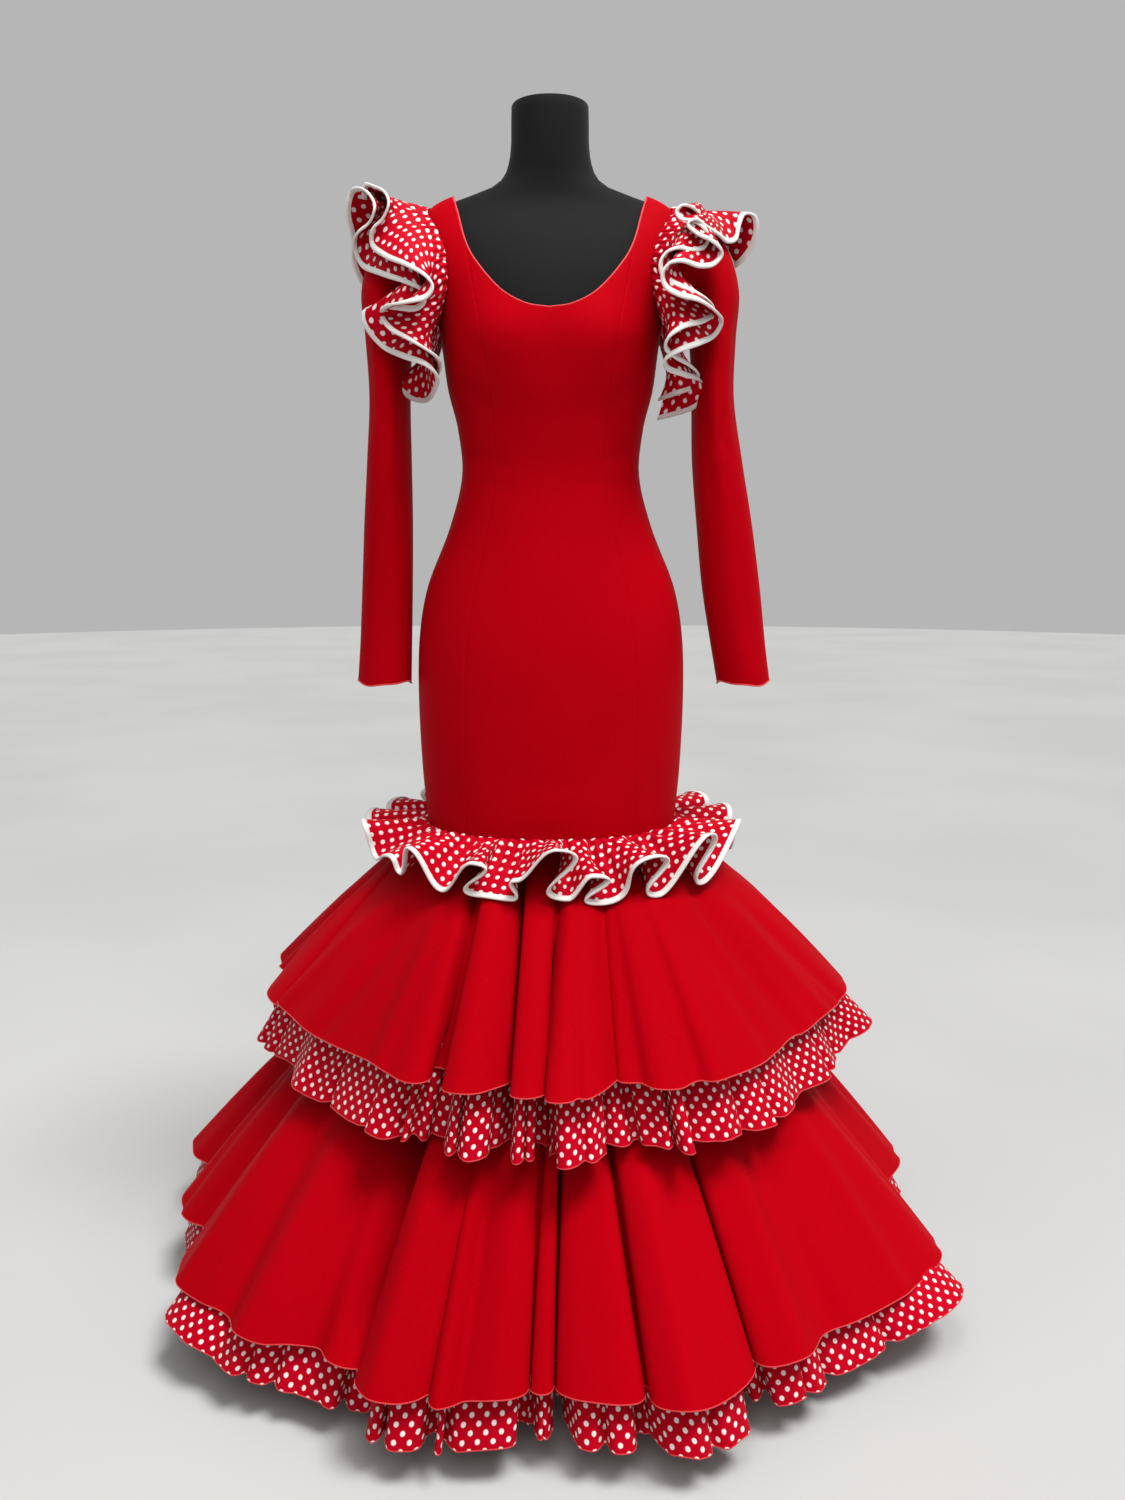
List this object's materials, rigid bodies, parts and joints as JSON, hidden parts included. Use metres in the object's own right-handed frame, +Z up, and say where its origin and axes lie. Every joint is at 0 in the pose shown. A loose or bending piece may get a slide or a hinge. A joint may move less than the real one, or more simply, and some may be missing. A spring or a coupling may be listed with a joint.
{
  "type": "flamenco dress on a dress form",
  "caption": "Fitted long-sleeved flamenco dress with a U neckline, dotted shoulder ruffles, a dotted knee ruffle and flared flounces, on a limbless dress form with a round stand.",
  "frame": {"origin": "centre of the stand base's underside, on the floor", "axes": "+Z up along the pole, -Y towards the front of the dress, +X towards the wearer's left"},
  "size_m": [1.0785, 1.0452, 1.564],
  "materials": {
    "crepe_red": "soft matte crepe",
    "dotted_cloth": "matte plain weave with small white dots",
    "bias_binding": "satin bias binding",
    "form_cover": "black stretch cover",
    "stand_metal": "satin black powder coat",
    "zip_metal": "red lacquer"
  },
  "bodies": {
    "dress_on_form": {"front_panel": "crepe_red", "back_left": "crepe_red", "back_right": "crepe_red", "side_front_left": "crepe_red", "side_front_right": "crepe_red", "side_back_left": "crepe_red", "side_back_right": "crepe_red", "sleeve_left": "crepe_red", "sleeve_right": "crepe_red", "base_skirt": "crepe_red", "upper_flounce": "crepe_red", "lower_flounce": "crepe_red", "shoulder_ruffle_upper_left": "dotted_cloth", "shoulder_ruffle_upper_right": "dotted_cloth", "shoulder_ruffle_lower_left": "dotted_cloth", "shoulder_ruffle_lower_right": "dotted_cloth", "knee_ruffle": "dotted_cloth", "upper_dotted_ruffle": "dotted_cloth", "lower_dotted_ruffle": "dotted_cloth", "shoulder_binding_upper_left": "bias_binding", "shoulder_binding_upper_right": "bias_binding", "shoulder_binding_lower_left": "bias_binding", "shoulder_binding_lower_right": "bias_binding", "knee_ruffle_binding": "bias_binding", "form_torso": "form_cover", "stand_base": "stand_metal", "stand_pole": "stand_metal", "zip_slider": "zip_metal"},
    "zip_tab": {"zip_pull_tab": "zip_metal"}
  },
  "joints": [
    {"name": "zip_tab_swing", "type": "hinge", "parent": "dress_on_form", "child": "zip_tab", "pos_m": [0, 0.10056, 1.37632], "axis": [1, 0, 0], "range_deg": [0, 150]}
  ]
}
